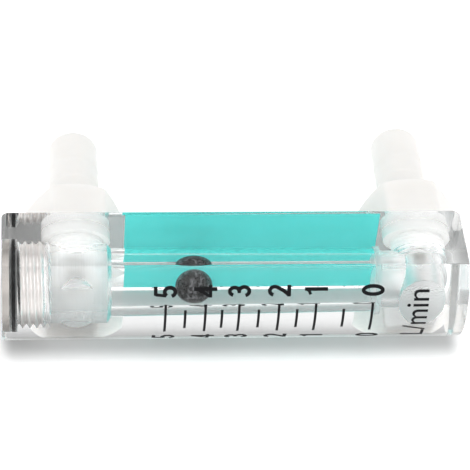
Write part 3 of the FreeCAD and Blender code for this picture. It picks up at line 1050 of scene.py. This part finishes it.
def scale_line_tree(ink):
    """Geometry nodes: a bar on every point, as long as the point says, bent round the front."""
    tree = bpy.data.node_groups.new("scale_lines", "GeometryNodeTree")
    tree.interface.new_socket("Geometry", in_out="INPUT", socket_type="NodeSocketGeometry")
    for name in ("Line Width", "Line Height", "Sunk", "Front Radius", "Middle Turn"):
        tree.interface.new_socket(name, in_out="INPUT", socket_type="NodeSocketFloat")
    tree.interface.new_socket("Front Centre", in_out="INPUT", socket_type="NodeSocketVector")
    tree.interface.new_socket("Geometry", in_out="OUTPUT", socket_type="NodeSocketGeometry")
    given = tree.nodes.new("NodeGroupInput").outputs

    def add(kind, output, **inputs):
        inputs = {name.replace("_", " "): value for name, value in inputs.items()}
        return wired(tree, kind, inputs).outputs[output]

    def vector(x, y, z):
        return add("ShaderNodeCombineXYZ", "Vector", X=x, Y=y, Z=z)

    stored = wired(tree, "GeometryNodeInputNamedAttribute", {"Name": "line_length"},
                   data_type="FLOAT").outputs["Attribute"]
    bar = add("GeometryNodeMeshCube", "Mesh", Vertices_Y=24,
              Size=vector(given["Line Width"], 1.0, given["Line Height"]))
    placed = add("GeometryNodeInstanceOnPoints", "Instances", Points=given["Geometry"],
                 Instance=bar, Scale=vector(1.0, stored, 1.0))
    real = add("GeometryNodeRealizeInstances", "Geometry", Geometry=placed)
    flat = split(tree, add("GeometryNodeInputPosition", "Position"))
    centre = split(tree, given["Front Centre"])
    turn = reckoned(tree, "ADD", reckoned(tree, "DIVIDE", flat["Y"], given["Front Radius"]),
                    given["Middle Turn"])
    lift = reckoned(tree, "SUBTRACT", reckoned(tree, "MULTIPLY", given["Line Height"], 0.5),
                    given["Sunk"])
    radius = reckoned(tree, "ADD", reckoned(tree, "ADD", given["Front Radius"], flat["Z"]), lift)
    depth = reckoned(tree, "MULTIPLY", radius, reckoned(tree, "COSINE", turn))
    rise = reckoned(tree, "MULTIPLY", radius, reckoned(tree, "SINE", turn))
    bent = vector(flat["X"], reckoned(tree, "SUBTRACT", centre["Y"], depth),
                  reckoned(tree, "ADD", centre["Z"], rise))
    moved = add("GeometryNodeSetPosition", "Geometry", Geometry=real, Position=bent)
    inked = add("GeometryNodeSetMaterial", "Geometry", Geometry=moved, Material=ink)
    wired(tree, "NodeGroupOutput", {"Geometry": inked})
    return tree


def feed(modifier, values):
    """Set a Geometry Nodes modifier's inputs by their names in its tree."""
    for item in modifier.node_group.interface.items_tree:
        if item.in_out == "INPUT" and item.name in values:
            modifier[item.identifier] = values[item.name]


class FLOWMETER_OT_scale(bpy.types.Operator):
    """Print the scale's lines, its two rows of figures and its unit on the front"""

    bl_idname = "flow_meter.scale"
    bl_label = "Printed Scale"

    def execute(self, context):
        meter = settings(context)
        block, sheet = meter.block, meter.sheet
        ink = scale_ink(meter.finish)
        majors = [sheet.zero_x - distance * MM for _, distance in FIGURES]
        halves = [sheet.zero_x - distance * MM for distance in HALVES]
        mesh = bpy.data.meshes.new("scale_lines")
        mesh.from_pydata([(x, 0.0, 0.0) for x in majors + halves], [], [])
        lengths = [sheet.long_line] * len(majors) + [sheet.short_line] * len(halves)
        mesh.attributes.new("line_length", "FLOAT", "POINT").data.foreach_set("value", lengths)
        lines = new_object("scale_lines", mesh)
        step = lines.modifiers.new("scale_lines", "NODES")
        step.node_group = scale_line_tree(ink)
        feed(step, {"Line Width": sheet.line_width, "Line Height": sheet.ink_proud + sheet.ink_sunk,
                    "Sunk": sheet.ink_sunk, "Front Radius": block.front_radius,
                    "Middle Turn": sheet.lines_turn, "Front Centre": front_centre(block)})
        bake(lines)
        put_on(lines, "meter_body", "black_rubber")
        for row, turn in (("upper", sheet.upper_turn), ("lower", sheet.lower_turn)):
            for (text, _), x in zip(FIGURES, majors):
                name = "figure_%s_%s" % (row, text)
                mesh = figure(name, text, sheet)
                wrapped(mesh, block, turn, x + sheet.figure_shift + sheet.figure_height / 2)
                finished(name, mesh, [ink], "black_rubber")
        mesh = lettering("unit", "L/min", sheet)
        wrapped(mesh, block, sheet.unit_turn, sheet.unit_x)
        finished("unit", mesh, [ink], "black_rubber")
        return {"FINISHED"}


LAMPS = (("front_light", (-0.1, -0.6, 0.75), 1.4), ("top_light", (0.1, 0.1, 0.95), 0.5))
LAMP_SIDE = 0.7
LAMP_AIM = Vector((0.0, 0.0, 0.01))
CARD_SIDE_SOFT, CARD_FOOT_SOFT, CARD_TOP_SOFT = 0.12, 0.07, 0.18


def surroundings(stage):
    """A pale sky with one soft grey card low behind the meter."""
    world = bpy.data.worlds.new("studio")
    world.use_nodes = True
    bpy.context.scene.world = world
    tree = world.node_tree
    parts = split(tree, tree.nodes.new("ShaderNodeTexCoord").outputs["Generated"])
    across = between(tree, reckoned(tree, "ARCTAN2", parts["X"], parts["Y"]),
                     -stage.card_half, stage.card_half, CARD_SIDE_SOFT)
    upward = between(tree, parts["Z"], math.sin(stage.card_low), math.sin(stage.card_high),
                     CARD_FOOT_SOFT, CARD_TOP_SOFT)
    card = reckoned(tree, "MULTIPLY", across, upward)
    background = tree.nodes["Background"].inputs
    fed(tree, background["Color"], WHITE)
    fed(tree, background["Strength"], dimmed(tree, card, stage.sky, stage.sky * stage.card_dim))


def pale_floor(stage):
    """A pale sheet with the soft shade that the meter throws right under itself."""
    recipe = Recipe("pale_floor")
    tree = recipe.tree
    place = split(tree, recipe.place)
    soft = stage.shade_soft

    def patch(low_x, high_x, low_y, high_y, front_soft):
        along = between(tree, place["X"], low_x, high_x, soft)
        return reckoned(tree, "MULTIPLY", along,
                        between(tree, place["Y"], low_y, high_y, front_soft, soft))

    shade = patch(BLOCK_LOW.x, BLOCK_HIGH.x, -BACK - stage.shade_reach, BACK + soft,
                  stage.shade_front_soft)
    hexagon = settings(bpy.context).fitting.hex_flats / 2
    for x in (OUTLET_X, INLET_X):
        spot = patch(x - hexagon, x + hexagon, BACK, BACK + hexagon, soft)
        spot = reckoned(tree, "MULTIPLY", spot, stage.fitting_shade)
        shade = reckoned(tree, "MAXIMUM", shade, spot)
    level = reckoned(tree, "MULTIPLY", dimmed(tree, shade, 1.0, stage.floor_shade),
                     ranged(tree, recipe.noise(30.0), 0.89, 0.91))
    grey = wired(tree, "ShaderNodeCombineColor", {0: level, 1: level, 2: level})
    recipe.set(Roughness=0.7, Base_Color=grey.outputs["Color"], Emission_Color=WHITE,
               Emission_Strength=dimmed(tree, shade, stage.floor_glow, stage.shade_glow))
    return recipe.material


def aimed_camera(stage):
    """The camera at its place, turned by its heading, pitch and roll."""
    eye = bpy.data.cameras.new("camera")
    eye.lens = stage.camera_lens
    eye.sensor_width = 36.0
    camera = new_object("camera", eye)
    heading, pitch, roll = stage.camera_heading, stage.camera_pitch, stage.camera_roll
    forward = Vector((math.sin(heading) * math.cos(pitch), math.cos(heading) * math.cos(pitch),
                      -math.sin(pitch)))
    right = Vector((math.cos(heading), -math.sin(heading), 0.0))
    up = right.cross(forward)
    rolled_right = right * math.cos(roll) + up * math.sin(roll)
    rolled_up = up * math.cos(roll) - right * math.sin(roll)
    turn = Matrix((rolled_right, rolled_up, -forward)).transposed()
    place = Vector((stage.camera_x, stage.camera_y, stage.camera_z))
    camera.matrix_world = Matrix.Translation(place) @ turn.to_4x4()
    return camera


class FLOWMETER_OT_stage(bpy.types.Operator):
    """Set up the pale floor, the soft light and the camera"""

    bl_idname = "flow_meter.stage"
    bl_label = "Stage"

    def execute(self, context):
        stage = settings(context).stage
        half, low = stage.floor_size / 2, -stage.floor_gap
        mesh = bpy.data.meshes.new("floor")
        corners = ((-half, -half), (half, -half), (half, half), (-half, half))
        mesh.from_pydata([(x, y, low) for x, y in corners], [], [(0, 1, 2, 3)])
        mesh.materials.append(pale_floor(stage))
        floor = new_object("floor", mesh)
        surroundings(stage)
        for name, place, strength in LAMPS:
            lamp = bpy.data.lights.new(name, "AREA")
            lamp.shape = "SQUARE"
            lamp.size = LAMP_SIDE
            lamp.energy = strength
            light = new_object(name, lamp)
            light.location = place
            light.rotation_euler = (LAMP_AIM - light.location).to_track_quat("-Z", "Y").to_euler()
        context.scene.camera = aimed_camera(stage)
        context.scene.view_settings.view_transform = "Standard"
        cycles = context.scene.cycles
        cycles.max_bounces = cycles.transmission_bounces = 24
        cycles.glossy_bounces = 16
        return {"FINISHED"}


@named
class FlowMeterSettings(bpy.types.PropertyGroup):
    """All settings of the flow meter"""

    block: PointerProperty(type=FlowMeterBlockSizes, description="The clear block")
    thread: PointerProperty(type=FlowMeterThreadSizes, description="The screw threads")
    fitting: PointerProperty(type=FlowMeterFittingSizes, description="The hose fittings")
    plug: PointerProperty(type=FlowMeterPlugSizes, description="The end plug")
    sheet: PointerProperty(type=FlowMeterPrintSizes, description="The printed scale")
    finish: PointerProperty(type=FlowMeterFinish, description="Colours and finishes")
    stage: PointerProperty(type=FlowMeterStage, description="Camera, floor and lights")


OPERATORS = (FLOWMETER_OT_block, FLOWMETER_OT_plug, FLOWMETER_OT_float, FLOWMETER_OT_film,
             FLOWMETER_OT_fittings, FLOWMETER_OT_scale, FLOWMETER_OT_stage)


class FLOWMETER_PT_panel(bpy.types.Panel):
    """The flow meter's pieces, in the sidebar"""

    bl_idname = "FLOWMETER_PT_panel"
    bl_label = "Flow Meter"
    bl_space_type = "VIEW_3D"
    bl_region_type = "UI"
    bl_category = "Flow Meter"

    def draw(self, context):
        for operator in OPERATORS:
            self.layout.operator(operator.bl_idname)


CLASSES = (FlowMeterBlockSizes, FlowMeterThreadSizes, FlowMeterFittingSizes, FlowMeterPlugSizes,
           FlowMeterPrintSizes, FlowMeterFinish, FlowMeterStage, FlowMeterSettings,
           *OPERATORS, FLOWMETER_PT_panel)


def register():
    for item in CLASSES:
        bpy.utils.register_class(item)
    bpy.types.Scene.flow_meter = PointerProperty(type=FlowMeterSettings)


def unregister():
    del bpy.types.Scene.flow_meter
    for item in reversed(CLASSES):
        bpy.utils.unregister_class(item)


def main():
    register()
    bpy.ops.flow_meter.block()
    bpy.ops.flow_meter.plug()
    bpy.ops.flow_meter.float_ball()
    bpy.ops.flow_meter.film()
    bpy.ops.flow_meter.fittings()
    bpy.ops.flow_meter.scale()
    bpy.ops.flow_meter.stage()


if __name__ == "__main__":
    main()
